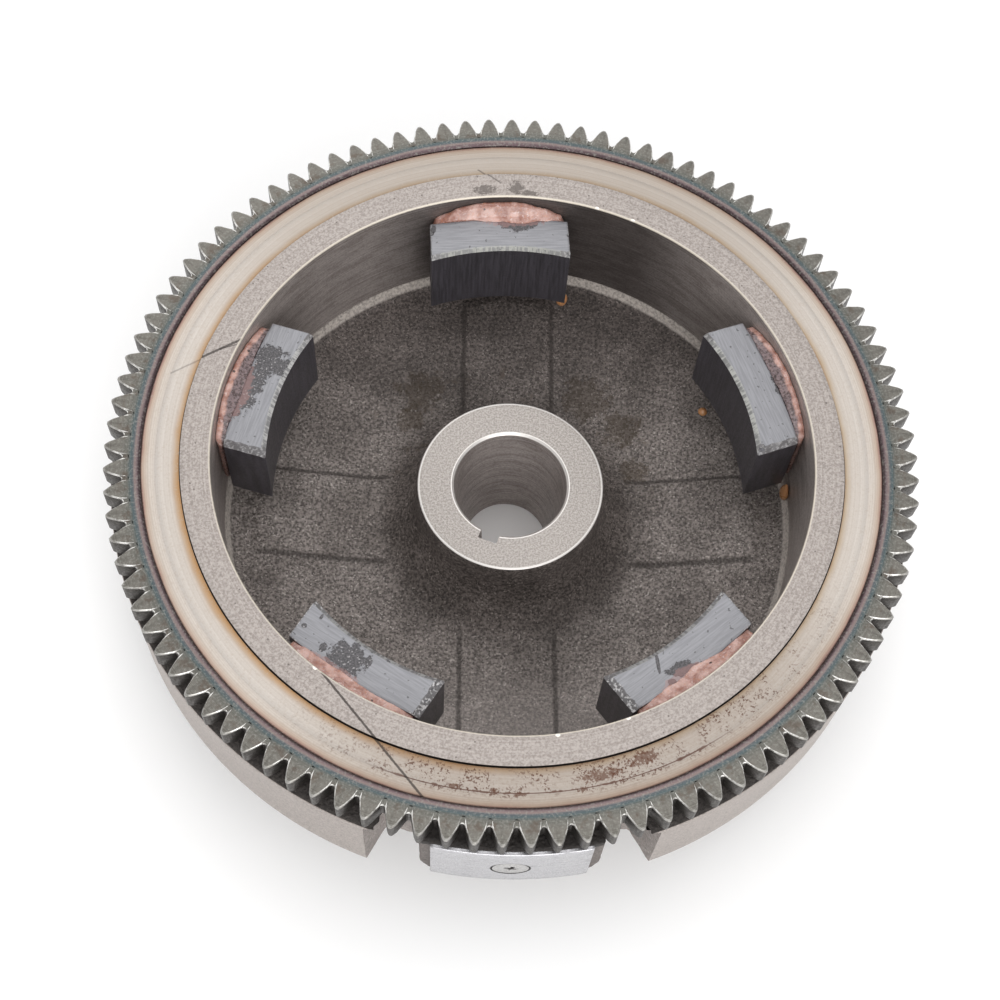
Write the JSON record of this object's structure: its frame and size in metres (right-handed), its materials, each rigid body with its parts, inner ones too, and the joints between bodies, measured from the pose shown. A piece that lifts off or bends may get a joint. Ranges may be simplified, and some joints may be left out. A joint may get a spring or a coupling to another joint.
{
  "type": "flywheel",
  "caption": "Small-engine flywheel with starter ring gear, bowl of charging magnets, 1:5 taper hub bore with keyway and ignition pole shoe.",
  "frame": {"origin": "on the crank axis in the fan-side boss face that the flywheel lies on", "axes": "+Z along the crank axis towards the engine side; the ignition pole points along -Y"},
  "size_m": [0.202, 0.202, 0.057],
  "materials": {
    "grey_iron": "as cast, with turned faces",
    "gear_steel": "heat-darkened machined steel",
    "ferrite": "ground ferrite",
    "adhesive": "cured resin",
    "pole_steel": "turned",
    "screw_steel": "plated, head turned flush"
  },
  "bodies": {
    "root": {"flywheel_casting": "grey_iron", "ring_gear": "gear_steel", "charge_magnet_1": "ferrite", "charge_magnet_2": "ferrite", "charge_magnet_3": "ferrite", "charge_magnet_4": "ferrite", "charge_magnet_5": "ferrite", "magnet_adhesive_1": "adhesive", "magnet_adhesive_2": "adhesive", "magnet_adhesive_3": "adhesive", "magnet_adhesive_4": "adhesive", "magnet_adhesive_5": "adhesive", "ignition_magnet": "ferrite", "pole_shoe": "pole_steel", "pole_shoe_screw": "screw_steel"}
  },
  "joints": []
}
